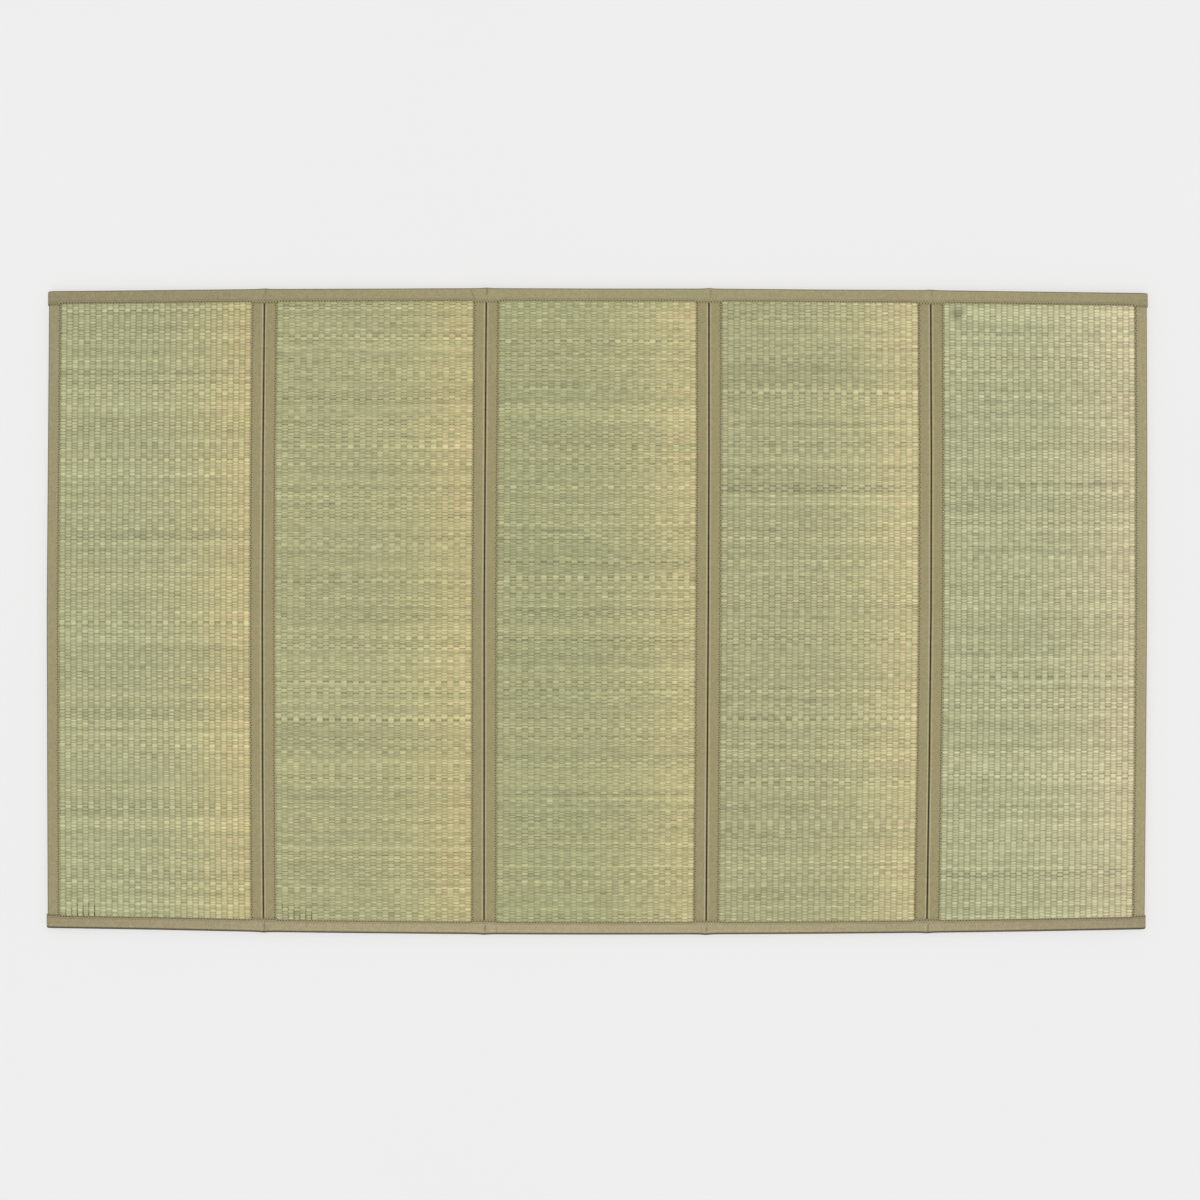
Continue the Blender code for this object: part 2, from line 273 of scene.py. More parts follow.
PANEL_COLUMNS = ("wider_left", "wave", "uneven")
PANEL_WEAVES = (  # wider ribs at the left, waviness of the stalks in mm, and unevenness of the stalks
    (0.000, 0.5, 0.9),
    (0.000, 0.8, 1.1),
    (0.012, 0.9, 1.1),
    (0.000, 1.0, 1.1),
    (0.000, 0.7, 0.9),
)
print(f"{RIBS} ribs on each panel, and a stalk every {STALK / MM:.2f} mm")

# %% Sizes of the slab
FIELD_INSIDE = 17.1 * MM  # from a side tape's fold to the first rib
MARGIN_INSIDE = 16.8 * MM  # to the flat margin under the tape
SHOULDER_INSIDE = 4.7 * MM  # to where the slab's edge starts to round off
NOSE_INSIDE = 1.3 * MM  # to the slab's rounded edge itself
NOSE_TOP, NOSE_LOW_SIDE, NOSE_LOW_END = 5.6 * MM, 4.6 * MM, 4.9 * MM
FIELD_FROM_NOSE = 3.65 * MM  # at the mat's ends, from the slab's edge to where the ribs start
MARGIN_MARKS = np.array([0, 0.008, 0.018, 0.024, 0.03, 0.05, 0.25, 0.5, 0.75, 0.95, 0.97, 0.976, 0.982,
                         0.992, 1])
MARGIN_RIB = 0.4  # the margins' place in the weave's map, outside the outer ribs
RAY_START = 0.1  # rays that measure a solid start this far above or below it
RAY_INSIDE = 0.2 * MM  # and keep this far inside its edge
UNDER_GROOVE = 0.5 * MM  # depth of the ribs' relief on the underside
UNDER_ROWS = 9  # rows of points along the underside, between its two ends
FLOOR_STEPS = ((3.7 * MM, 1.3 * MM), (16.8 * MM, 1.3 * MM), (17.1 * MM, 0.0))  # in from the nose, and z
UNDER_STEPS = (*FLOOR_STEPS, *[FLOOR_STEPS[-1]] * UNDER_ROWS, *FLOOR_STEPS[::-1])
UNDER_MARKS = np.array([0, 0.0155, 0.0165, *np.linspace(0.05, 0.95, UNDER_ROWS), 0.9835, 0.9845, 1])
UNDER_ENDS = np.array([0, 0, 0, *np.linspace(0.03, 0.97, UNDER_ROWS), 1, 1, 1])
print(f"the ribs start {FIELD_INSIDE / MM:.1f} mm inside a side tape's fold")

# %% [markdown]
# A real panel is never a perfect rectangle: its long edges bow a little, and so do its ends. So a point is
# given by its shares across and along the panel, and these are turned into a place inside the folds, and into
# the height of the solid there. The stalks also wander a little on the loom. A sum of slow sines gives that.


# %% Places on one panel
class Slab:
    """Places on one rush panel, from its shares across (0 at the left) and along (0 at the near end)."""

    def __init__(self, number):
        self.node = f"panel_{number}"
        names = bindings(number)
        self.left, self.right = SIDE_FOLD[names["left"]], SIDE_FOLD[names["right"]]
        self.near = outline(self.node, X, Y, -1, 8 * MM)
        self.far = outline(self.node, X, Y, 1, 8 * MM)
        self.middle = float(self.left(0) + self.right(0)) / 2

    def spot(self, across, along, inside, from_nose):
        """(x, y) at these shares of the part that lies so far inside the folds and the slab's ends."""
        near, far = self.near(self.middle) + from_nose, self.far(self.middle) - from_nose
        for _ in range(2):
            y = near + (far - near) * along
            left, right = self.left(y) + inside, self.right(y) - inside
            x = left + (right - left) * across
            near, far = self.near(x) + from_nose, self.far(x) - from_nose
        return x, near + (far - near) * along

    def height(self, x, y, above=True):
        """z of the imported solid's surface at a place, from above or below."""
        way = -1 if above else 1
        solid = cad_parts[self.node]
        found, point, *_ = solid.ray_cast(Vector((x, y, -way * RAY_START)), Vector((0, 0, way)))
        return point.z if found else None


# %% How the weave wanders
RIPPLE_SINES = 6
RIPPLE_PEAK = 3.5  # about the highest that their sum reaches
RIPPLE_SPREAD = (0.6, 1.8)  # of the wavelengths


def ripple(rng, lengths, *coordinates):
    """A smooth random wave from -1 to 1 over some coordinates, of about the given wavelengths."""
    total = 0
    for _ in range(RIPPLE_SINES):
        phase = rng.uniform(0, 2 * pi)
        for length, at in zip(lengths, coordinates):
            phase = phase + 2 * pi * at / (length * rng.uniform(*RIPPLE_SPREAD)) * rng.choice((-1, 1))
        total = total + np.sin(phase)
    return total / RIPPLE_PEAK


def panel_wave(number, across, along):
    """How far a panel's weave wanders sideways and lengthwise, in metres, at shares across and along."""
    rng = np.random.default_rng(WAVE_SEED + number)
    sideways = 0.5 * MM * ripple(rng, (0.5, 0.3), across, along)
    lengthwise = 1.0 * MM * ripple(rng, (0.8, 0.16), across, along)
    return sideways, lengthwise


# %% Stalks and ribs
def stalk_rows(rng, slab, uneven):
    """Places of the stalks, as shares of a panel's length: thick and thin ones mixed, as they grow."""
    length = slab.far(slab.middle) - slab.near(slab.middle) - 2 * FIELD_FROM_NOSE
    count = 2 * round(length / STALK / 2)
    thickness = np.exp(STALK_UNEVEN * uneven * rng.normal(size=count))
    places = np.concatenate([[0], np.cumsum(thickness)]) / thickness.sum()
    return places, np.append(thickness, 1.0) / thickness.mean()


def weave_lines(rng, rows, thickness):
    """The lines of points along the ribs: (place across in ribs, rows where it has a point, heights)."""
    last = len(rows) - 1
    lines = []
    for rib in range(RIBS + 1):
        at = np.arange(last + 1.0)
        lines.append((float(rib), at, GROOVE_Z + GROOVE_UNEVEN * rng.normal(size=last + 1)))
        if rib == RIBS:
            return lines
        marks, heights = [], []
        for row in range(last + 1):
            if row % 2 == rib % 2 and 0 < row < last:
                top = FLOAT_Z + FLOAT_SWELL * (thickness[row] - 1) + FLOAT_UNEVEN * rng.normal()
                marks += [row - FLOAT_TOP, row + FLOAT_TOP]
                heights += [top, top]
            else:
                marks.append(row)
                heights.append(GAP_Z)
        for share in RIB_CREST:
            lines.append((rib + share, np.array(marks), np.array(heights)))


# %% [markdown]
# The panel is laid line by line, from its left edge to its right one, as the ribs run. Each line has its own
# number of points, because a thick stalk makes a long float and a thin stalk a short one. An even grid would
# be simpler, but it would spend many more faces. Neighbouring lines are then joined by triangles, as a zip
# joins its two rows of teeth.


# %% Lines of points
class Weaver:
    """Lays the lines of points of one panel, and keeps each point's place in the weave: rib and stalk."""

    def __init__(self, number):
        self.number, self.slab = number, Slab(number)
        self.look = dict(zip(PANEL_COLUMNS, PANEL_WEAVES[number - 1]))
        self.rng = np.random.default_rng(PANEL_SEED + number)
        self.rows, self.thickness = stalk_rows(self.rng, self.slab, self.look["uneven"])
        self.last = len(self.rows) - 1
        self.points, self.weave, self.count = [], [], 0

    def line(self, x, y, z, u, v):
        """Keeps a line of points, and returns (their numbers, their places along the panel)."""
        x, y, z, u, v = np.broadcast_arrays(x, y, z, u, v)
        numbers = np.arange(self.count, self.count + len(x))
        self.count += len(x)
        self.points.append(np.stack([x, y, z], 1))
        self.weave.append(np.stack([u, v], 1))
        return numbers, v.astype(float)

    def field(self, u, v, z):
        """A line of the woven field."""
        share = u / RIBS
        across = share + self.look["wider_left"] * np.sin(pi * share)
        along = np.interp(v, np.arange(self.last + 1), self.rows)
        free = 4 * across * (1 - across) * np.minimum(1, 12 * along * (1 - along))
        wave_x, wave_y = panel_wave(self.number, across, along)
        x, y = self.slab.spot(across, along, FIELD_INSIDE, FIELD_FROM_NOSE)
        return self.line(x + free * wave_x, y + free * wave_y * self.look["wave"], z, u, v)

    def margin(self, side, inside, above):
        """A line of the flat margin that the side tape covers, at the height of the solid there."""
        shares = np.full(len(MARGIN_MARKS), float(side))
        x, y = self.slab.spot(shares, MARGIN_MARKS, inside, FIELD_FROM_NOSE if above else FLOOR_STEPS[0][0])
        inner = x + (0.5 - side) * RAY_INSIDE
        between = np.clip(y, y[0] + RAY_INSIDE, y[-1] - RAY_INSIDE)
        z = np.array([self.slab.height(*spot, above) for spot in zip(inner, between)])
        return self.line(x, y, z, side * RIBS + (2 * side - 1) * MARGIN_RIB, MARGIN_MARKS * self.last)

    def under(self, u, groove):
        """A line of the underside, whose ribs stand on the floor."""
        spots = [self.slab.spot(u / RIBS, end, FIELD_INSIDE, step[0])
                 for end, step in zip(UNDER_ENDS, UNDER_STEPS)]
        x, y = np.array(spots).T
        rise = np.array([step[1] for step in UNDER_STEPS])
        return self.line(x, y, rise + groove * UNDER_GROOVE * (rise == 0), u + 1, UNDER_MARKS * self.last)

    def nose(self, z_side, z_end):
        """The line once round the slab's rounded edge, inside all four tapes."""
        shares = [(p, 0.0, z_end) for p in (0, 0.25, 0.5, 0.75)]
        shares += [(1.0, q, z_side) for q in MARGIN_MARKS]
        shares += [(p, 1.0, z_end) for p in (0.75, 0.5, 0.25)]
        shares += [(0.0, q, z_side) for q in MARGIN_MARKS[::-1]]
        places = [p if q == 0 else 3 - p if q == 1 and 0 < p < 1 else 1 + q if p == 1 else 4 - q
                  for p, q, _ in shares]
        x, y = np.array([self.slab.spot(p, q, NOSE_INSIDE, 0.0) for p, q, _ in shares]).T
        numbers = self.line(x, y, np.array([z for *_, z in shares]), -MARGIN_RIB, 0)[0]
        return np.append(numbers, numbers[0]), np.append(places, 4.0)


# %% Faces between the lines
def zip_lines(first, second):
    """Triangles between two lines of points, each given as (numbers, places along it)."""
    (a, a_at), (b, b_at) = first, second
    faces = []
    i = j = 0
    while i < len(a) - 1 or j < len(b) - 1:
        if j == len(b) - 1 or (i < len(a) - 1 and a_at[i + 1] <= b_at[j + 1]):
            faces.append((a[i], b[j], a[i + 1]))
            i += 1
        else:
            faces.append((a[i], b[j], b[j + 1]))
            j += 1
    return np.array(faces)


def woven_faces(lines):
    """Triangles between neighbouring lines. Their patterns repeat, so each is worked out only once."""
    patterns, faces = {}, []
    for first, second in zip(lines, lines[1:]):
        split = len(first[0])
        key = (split, len(second[0]), float(first[1][1]), float(second[1][1]))
        if key not in patterns:
            ahead = np.arange(len(second[0])) + split
            patterns[key] = zip_lines((np.arange(split), first[1]), (ahead, second[1]))
        pattern = patterns[key]
        faces.append(np.where(pattern < split, pattern + first[0][0], pattern - split + second[0][0]))
    return faces


def rim(lines, x_of, last):
    """The numbers and places of the points once round the edge of a surface made of lines."""
    start, stop = x_of[lines[0][0][0]], x_of[lines[-1][0][0]]
    near = [numbers[0] for numbers, _ in lines]
    far = [numbers[-1] for numbers, _ in reversed(lines)]
    numbers = near + list(lines[-1][0][1:-1]) + far + list(lines[0][0][-2:0:-1]) + [near[0]]
    places = [float((x_of[n] - start) / (stop - start)) for n in near]
    places += [1 + v / last for v in lines[-1][1][1:-1]]
    places += [3 - float((x_of[n] - start) / (stop - start)) for n in far]
    places += [4 - v / last for v in lines[0][1][-2:0:-1]] + [4.0]
    return np.array(numbers), np.maximum.accumulate(places)


# %% An object from points and faces
def closed_piece(name, points, faces):
    """A new object from points and triangles, with its faces turned outward."""
    mesh = bpy.data.meshes.new(name)
    mesh.from_pydata(points.tolist(), [], faces.tolist())
    work = bmesh.new()
    work.from_mesh(mesh)
    bmesh.ops.recalc_face_normals(work, faces=work.faces)
    work.to_mesh(mesh)
    work.free()
    mesh.shade_smooth()
    piece = bpy.data.objects.new(name, mesh)
    bpy.context.collection.objects.link(piece)
    return piece


def add_uv(piece, name, places):
    """A UV map that gives each point one place."""
    mesh = piece.data
    corners = np.empty(len(mesh.loops), int)
    mesh.loops.foreach_get("vertex_index", corners)
    mesh.uv_layers.new(name=name).data.foreach_set("uv", places[corners].astype(np.float32).ravel())


# %% The five panels
def rush_panel(number):
    """One woven panel as a closed mesh, with its ribs and rows kept in a UV map for the finish."""
    weaver = Weaver(number)
    top = [weaver.margin(0, SHOULDER_INSIDE, True), weaver.margin(0, MARGIN_INSIDE, True)]
    right = [weaver.margin(1, MARGIN_INSIDE, True), weaver.margin(1, SHOULDER_INSIDE, True)]
    top += [weaver.field(*row) for row in weave_lines(weaver.rng, weaver.rows, weaver.thickness)] + right

    below = [weaver.margin(0, SHOULDER_INSIDE, False), weaver.margin(0, MARGIN_INSIDE, False)]
    for rib in range(RIBS):
        below += [weaver.under(rib, 1)] + [weaver.under(rib + share, 0) for share in RIB_CREST]
    below += [weaver.under(RIBS, 1), weaver.margin(1, MARGIN_INSIDE, False)]
    below.append(weaver.margin(1, SHOULDER_INSIDE, False))

    upper, lower = weaver.nose(NOSE_TOP, NOSE_TOP), weaver.nose(NOSE_LOW_SIDE, NOSE_LOW_END)
    points = np.concatenate(weaver.points)
    faces = woven_faces(top) + [zip_lines(first, second)[:, ::-1] for first, second in zip(below, below[1:])]
    upper_rim, lower_rim = rim(top, points[:, X], weaver.last), rim(below, points[:, X], weaver.last)
    rings = (upper_rim, upper, lower, lower_rim)
    faces += [zip_lines(first, second) for first, second in zip(rings, rings[1:])]
    piece = closed_piece(f"rush_panel_{number}", points, np.concatenate(faces))
    add_uv(piece, "weave", np.concatenate(weaver.weave))
    return piece


panels = {number: rush_panel(number) for number in range(1, PANELS + 1)}
for piece in panels.values():
    print(piece.name, "has", len(piece.data.polygons), "triangles")

# %% [markdown]
# Dried rush is pale green and turns to straw, with the tan foot of the stalk at one side of each panel,
# where the stalks started. Its skin is smooth and waxy, so it shines softly. The finish reads the weave's
# own map: the whole part of U is the rib and of V is the stalk, so every stalk gets one colour, and it
# shows in every second rib only.


# %% Settings of the rush finish
NOISE_COLUMNS = ("follows", "across", "along", "detail", "light", "straw")
RUSH_NOISES = (  # steps per rib and per stalk, and how much each changes the lightness and the yellowness
    ("stalk", 0.010, 0.055, 3.0, 0.22, 0.40),
    ("stalk", 0.015, 0.700, 1.0, 0.22, 0.00),
    ("place", 0.650, 0.600, 1.0, 0.44, 0.00),
    ("place", 0.040, 1.000, 1.0, 0.40, 0.00),
    ("place", 0.300, 7.000, 2.0, 0.26, 0.00),
)
STALK_LIGHT, FLOAT_LIGHT, STALK_STRAW = 0.16, 0.16, 0.28  # of single stalks and single floats
PALE_LIGHT = 0.10  # of the few palest stalks
SHINE_LIGHT = 0.16  # a painted highlight: a thin light line on each float, nearer one edge or the other
# painted shade in the gaps between floats and between two stalks of one float
GAP_SHADE, PAIR_SHADE = 0.35, 0.26
ROUND_END = 0.4  # how much narrower a float is at its ends
MARK_COLUMNS = ("panel", "pixel_x", "pixel_y", "radius", "colour", "strength")
MARKS = (  # small marks of use, with the radius in mm
    (1, 231.0, 379.0, 1.1, "F0E8C0", 0.6),
    (2, 391.0, 505.0, 7.5, "8A875E", 0.25),
    (3, 668.0, 326.0, 1.5, "6B5434", 0.7),
    (5, 957.0, 313.5, 12.5, "84835F", 0.85),
)
RUSH_COLUMNS = ("green", "straw", "foot", "groove", "fine", "left")
RUSH_LOOKS = (  # from panel 1 to 5: colours of a float's top, strengths of the painted shade in the grooves and of the fine noise, and how much darker the left is
    ("B1B187", "C6BB86", "CFB38D", 0.21, 0.90, 0.0),
    ("AEAD81", "C3B984", "CDB18A", 0.08, 1.00, 0.0),
    ("AAAA7E", "C3BA87", "CDB28B", 0.09, 1.30, 0.02),
    ("AFAE83", "CBC18F", "D2B992", 0.17, 1.15, 0.035),
    ("B7B78E", "CEC59B", "D3BE9D", 0.24, 1.10, 0.04),
)


# %% Places in the weave
def weave_places(node, number):
    """Where a point is: its rib, its float and the stalk that shows there, with random shades for both."""
    weave = node("SeparateXYZ", [node("UVMap", uv_map="weave")]).outputs
    u, v = weave["X"], weave["Y"]
    rib = node("Math", [u], operation="FLOOR")
    odd = node("Math", [rib, 2.0], operation="FLOORED_MODULO")
    step = node("Math", [v, odd], operation="SUBTRACT")
    step = node("Math", [step, float(FLOAT_PITCH)], operation="DIVIDE")
    float_number = node("Math", [step], operation="ROUND")
    signed = node("Math", [step, float_number], operation="SUBTRACT")
    from_middle = node("Math", [signed], operation="ABSOLUTE")
    stalk = node("Math", [float_number, float(FLOAT_PITCH), odd], operation="MULTIPLY_ADD")
    in_rib = node("Math", [node("Math", [u], operation="FRACT"), 0.5], operation="SUBTRACT")
    from_rib_middle = node("Math", [in_rib], operation="ABSOLUTE")
    rounded = node("Math", [from_rib_middle, from_rib_middle], operation="MULTIPLY")
    rounded = node("Math", [rounded, ROUND_END, from_middle], operation="MULTIPLY_ADD")
    shades = []
    for whose in ([stalk, float(number)], [stalk, float(number), rib]):
        chance = node("TexWhiteNoise", [node("CombineXYZ", whose)])
        shades.append(node("SeparateColor", [chance.outputs["Color"]]).outputs)
    share = node("Math", [u, float(RIBS)], operation="DIVIDE")
    return SimpleNamespace(u=u, v=v, share=share, stalk=stalk, signed=signed, rounded=rounded,
                           from_middle=from_middle, from_rib_middle=from_rib_middle,
                           of_stalk=shades[0], of_float=shades[1])


def cloud(node, x, y, steps, detail, layer=0.0):
    """Cloudy differences round 0, with so many steps along x and along y."""
    place = node("CombineXYZ", [node("Math", [x, steps[0]], operation="MULTIPLY"),
                                node("Math", [y, steps[1]], operation="MULTIPLY"), layer])
    noise = node("TexNoise", {"Vector": place, "Scale": 1.0, "Detail": detail}).outputs["Fac"]
    return node("Math", [noise, 0.5], operation="SUBTRACT")


def darkened(node, light, darker):
    """A lightness, made lower by each of these shadows in turn."""
    for dark in darker:
        kept = node("Math", [1.0, dark], operation="SUBTRACT")
        light = node("Math", [light, kept], operation="MULTIPLY")
    return light


# %% Light and straw from stalk to stalk
def stalk_shades(node, at, look, number):
    """Lightness and yellowness, which change from stalk to stalk, along a stalk and in wide bands."""
    ripe = node("MapRange", {"Value": at.share, "From Min": 0.35, "From Max": 1.35, "To Max": 1.25},
                interpolation_type="SMOOTHSTEP")
    straw = node("Math", [at.of_stalk[0], STALK_STRAW, -STALK_STRAW / 2], operation="MULTIPLY_ADD")
    straw = node("Math", [straw, ripe], operation="ADD")
    even = 1 - STALK_LIGHT / 2 - PALE_LIGHT / 5
    light = node("Math", [at.of_stalk[2], STALK_LIGHT, even], operation="MULTIPLY_ADD")
    pale = node("Math", [at.of_stalk[2], 4.0], operation="POWER")
    light = node("Math", [pale, PALE_LIGHT, light], operation="MULTIPLY_ADD")
    darker_left = node("MapRange", {"Value": at.share, "From Max": 0.5, "To Min": -look["left"],
                                    "To Max": 0.0})
    light = node("Math", [darker_left, light], operation="ADD")
    single = node("Math", [at.of_float[0], FLOAT_LIGHT, -FLOAT_LIGHT / 2], operation="MULTIPLY_ADD")
    light = node("Math", [light, single], operation="ADD")
    for row in RUSH_NOISES:
        noise = dict(zip(NOISE_COLUMNS, row))
        whole = noise["follows"] == "stalk"
        steps = (noise["across"], noise["along"])
        shade = cloud(node, at.u, at.stalk if whole else at.v, steps, noise["detail"], 7.3 * number)
        strength = noise["light"] * (1 if whole else look["fine"])
        light = node("Math", [shade, strength, light], operation="MULTIPLY_ADD")
        if noise["straw"]:
            straw = node("Math", [shade, noise["straw"], straw], operation="MULTIPLY_ADD", use_clamp=True)

    # A painted highlight: a thin light line along each float
    shine_at = node("Math", [at.of_float[2], 0.5, -0.25], operation="MULTIPLY_ADD")
    from_shine = node("Math", [at.signed, shine_at], operation="SUBTRACT")
    from_shine = node("Math", [from_shine], operation="ABSOLUTE")
    painted_highlight = node("MapRange", {"Value": from_shine, "From Max": 0.2, "To Min": SHINE_LIGHT, "To Max": 0.0},
                 interpolation_type="SMOOTHSTEP")
    return node("Math", [light, painted_highlight], operation="ADD"), straw


# %% The colour of the stalks
def stalk_colour(node, at, look, straw):
    """Green to straw, and the reddish foot of some stalks at the right, best seen at the floats' edges."""
    green, yellow = linear(look["green"]), linear(look["straw"])
    colour = node("Mix", {"Factor": straw, "A": green, "B": yellow}, data_type="RGBA")
    foot_here = node("MapRange", {"Value": at.share, "From Min": 0.70, "From Max": 1.0, "To Max": 0.8})
    some = node("MapRange", {"Value": at.of_stalk[1], "From Min": 0.60, "From Max": 0.75})
    footed = node("Math", [foot_here, some], operation="MULTIPLY")
    at_edge = node("MapRange", {"Value": at.rounded, "From Min": 0.22, "From Max": 0.40, "To Min": 0.2})
    footed = node("Math", [footed, at_edge], operation="MULTIPLY")
    return node("Mix", {"Factor": footed, "A": colour, "B": linear(look["foot"])}, data_type="RGBA")


def marked(node, number, colour):
    """The colour with the small marks of use on this panel."""
    spot = node("TexCoord").outputs["Object"]
    for mark in [dict(zip(MARK_COLUMNS, row)) for row in MARKS if row[0] == number]:
        middle = (pixel_x(mark["pixel_x"]), pixel_y(mark["pixel_y"]), WEAVE_TOP)
        away = node("VectorMath", [spot, middle], operation="DISTANCE").outputs["Value"]
        radius = mark["radius"] * MM
        here = node("MapRange", {"Value": away, "From Min": 0.3 * radius, "From Max": radius,
                                 "To Min": mark["strength"], "To Max": 0.0})
        colour = node("Mix", {"Factor": here, "A": colour, "B": linear(mark["colour"])}, data_type="RGBA")
    return colour


def weave_shadows(node, at, look):
    """Painted shade in the gaps between floats, between two thin stalks of one float, and in the grooves
    between ribs.
    """
    gap = node("MapRange", {"Value": at.rounded, "From Min": 0.28, "From Max": 0.5, "To Max": GAP_SHADE},
               interpolation_type="SMOOTHSTEP")
    deep = node("MapRange", {"Value": at.of_stalk[0], "To Min": 0.3, "To Max": 1.5})
    pair = node("MapRange", {"Value": at.from_middle, "From Max": 0.12, "To Min": PAIR_SHADE, "To Max": 0.0})
    paired = node("Math", [at.of_float[1], 0.55], operation="GREATER_THAN")
    groove = node("MapRange", {"Value": at.from_rib_middle, "From Min": 0.24, "From Max": 0.5,
                               "To Max": look["groove"]}, interpolation_type="SMOOTHSTEP")
    between = [node("Math", shares, operation="MULTIPLY") for shares in ([gap, deep], [pair, paired])]
    return [*between, groove]


# %% The rush finish
def rush_finish(number):
    """Dried rush, woven. Each stalk has its own colour, with painted shade in the grooves between ribs and
    floats and a painted highlight along each float.
    """
    look = dict(zip(RUSH_COLUMNS, RUSH_LOOKS[number - 1]))
    finish, tree, shader = new_finish(f"woven rush, panel {number}", 0.62, 0.25)
    node = partial(add, tree)
    at = weave_places(node, number)
    light, straw = stalk_shades(node, at, look, number)
    light = darkened(node, light, weave_shadows(node, at, look))
    colour = marked(node, number, stalk_colour(node, at, look, straw))
    colour = node("VectorMath", {0: colour, "Scale": light}, operation="SCALE")
    tree.links.new(colour.outputs["Vector"], shader.inputs["Base Color"])

    # The stalks' skin is finely ribbed lengthwise
    skin = cloud(node, at.u, at.v, (0.6, 7.0), 2.0)
    bump = node("Bump", {"Height": skin, "Strength": 0.35, "Distance": 0.0003})
    tree.links.new(bump.outputs["Normal"], shader.inputs["Normal"])
    return finish


# %% The finish of each panel
for number, piece in panels.items():
    piece.data.materials.append(rush_finish(number))
print("rush finishes:", [piece.data.materials[0].name for piece in panels.values()])

# %% [markdown]
# A binding is a strip of woven polyester tape, about 40 mm wide. It is folded over the edge and sewn
# through. So each tape starts as a flat strip: a grid, with one row of points for each mark across and
# along it. The strip is then laid over the edge point by point, and Solidify gives it the thickness of
# cloth, as a real strip has from the start.

# %% Folding a strip of cloth
CLOTH = 1.0 * MM
FOLD_RADIUS = 3.0 * MM
LEG_MARKS = (0.0, 0.5, 1.2, 2.0, 2.9, 4.2, 6.5, 9.5)  # mm in from the sewn edge
LOWER_LEG_MARKS = (0.0, 2.0, 6.5)
PRESS_AT = (0.0, 0.8, 2.0, 3.2, 5.5, 9.0, 13.0)  # mm in from the sewn edge
PRESS = (-0.30, -0.22, -0.30, -0.12, 0.10, 0.12, 0.0)  # mm: the seam presses it down, and beside it it swells
QUARTER_STEPS = 5


def fold_section(part, width, height, low):
    """A folded tape's outer face: depth from the fold, z, and the way out of the cloth in both.

    part runs over the upper leg (0 to 1), upper curve, fold, lower curve and lower leg (4 to 5)."""
    r = FOLD_RADIUS
    step = np.clip(np.floor(part), 0, 4)
    share = part - step
    leg = width - r
    turn = pi / 2 * share
    straight = height - 2 * r
    zero, one = np.zeros_like(share), np.ones_like(share)
    cases = [step == n for n in range(5)]
    depth = np.select(cases, [width - leg * share, r - r * np.sin(turn), zero, r - r * np.cos(turn),
                              r + leg * share])
    z = np.select(cases, [height + zero, height - r + r * np.cos(turn), height - r - straight * share,
                          r - r * np.sin(turn), zero])
    out_depth = np.select(cases, [zero, -np.sin(turn), -one, -np.cos(turn), zero])
    out_z = np.select(cases, [one, np.cos(turn), zero, -np.sin(turn), -one])
    return depth, low + z, out_depth, out_z


# %% Sizes of the seams
SEAM_COLUMNS = ("pitch", "outer", "inner", "outer_shade", "inner_shade")
SEAMS = {  # mm: one zig and zag, and rows of needle holes in from the sewn edge; then how dark the painted shade of the holes is
    "side": (6.9, 1.0, 1.8, 0.85, 0.85),
    "end": (4.0, 1.4, 3.6, 0.85, 0.40),
}
HOLE = 1.15 * MM  # radius of the painted shade round a needle hole
print("needle holes", SEAMS)


# %% Places on a folded tape
class Tape:
    """Places on a folded tape. Its own line runs along Y for a side tape and along X for an end tape."""

    def __init__(self, node, axis, inward, fold, edge, top, low, relief=None, bulge=0.0):
        self.axis, self.inward = axis, inward
        self.fold, self.edge, self.top, self.low = fold, edge, top, low
        self.relief, self.bulge = relief, bulge
        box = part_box(node)
        self.start, self.end = box[0][axis], box[1][axis]

    def place(self, part, at, lift=0.0, openness=1.0):
        """Points of the tape's outer face, lifted off it by so much. openness under 1 flattens the fold."""
        part, at, lift, openness = np.broadcast_arrays(part, at, lift, openness)
        width = np.abs(self.edge(at) - self.fold(at))
        low, height = self.low(at), self.top(at) - self.low(at)
        depth, z, out_depth, out_z = fold_section(part, width, height, low)
        from_edge = width - depth
        leg = (part < 1) | (part > 4)
        lift = lift + np.where(leg, np.interp(from_edge / MM, PRESS_AT, PRESS) * MM, 0)
        lift = lift + self.bulge * np.clip(1 - np.abs(part - 2.5) / 1.5, 0, 1)
        if self.relief:
            lift = lift + self.relief(part, at, depth, width) * openness
        depth = depth + out_depth * lift
        z = z + out_z * lift
        middle = low + height / 2
        z = middle + (z - middle) * openness
        near_fold = np.where(depth < height / 2, 1 - depth / (height / 2), 0)
        depth = depth + (1 - openness) * 0.5 * height * near_fold
        z = np.maximum(z, 0)
        across = self.fold(at) + self.inward * depth
        pair = (at, across) if self.axis == X else (across, at)
        return np.stack([*pair, z], -1)

    def part_of_leg(self, from_edge, at, upper=True):
        """The part number of a place on a leg, from its distance to the sewn edge."""
        share = from_edge / (np.abs(self.edge(at) - self.fold(at)) - FOLD_RADIUS)
        return share if upper else 5 - share

    def parts(self):
        """Marks across the strip, and how far each lies from the upper sewn edge, in metres."""
        width = float(abs(self.edge((self.start + self.end) / 2) - self.fold((self.start + self.end) / 2)))
        height = float(self.top(0) - self.low(0))
        leg = width - FOLD_RADIUS
        upper = [mark * MM / leg for mark in LEG_MARKS]
        curve = [1 + i / QUARTER_STEPS for i in range(QUARTER_STEPS + 1)]
        marks = upper + curve + [3 + i / QUARTER_STEPS for i in range(QUARTER_STEPS + 1)]
        marks += [5 - mark * MM / leg for mark in reversed(LOWER_LEG_MARKS)]
        runs = (leg, FOLD_RADIUS * pi / 2, height - 2 * FOLD_RADIUS, FOLD_RADIUS * pi / 2, leg)
        lengths = np.concatenate([[0], np.cumsum(runs)])
        return np.array(marks), np.interp(marks, range(6), lengths)


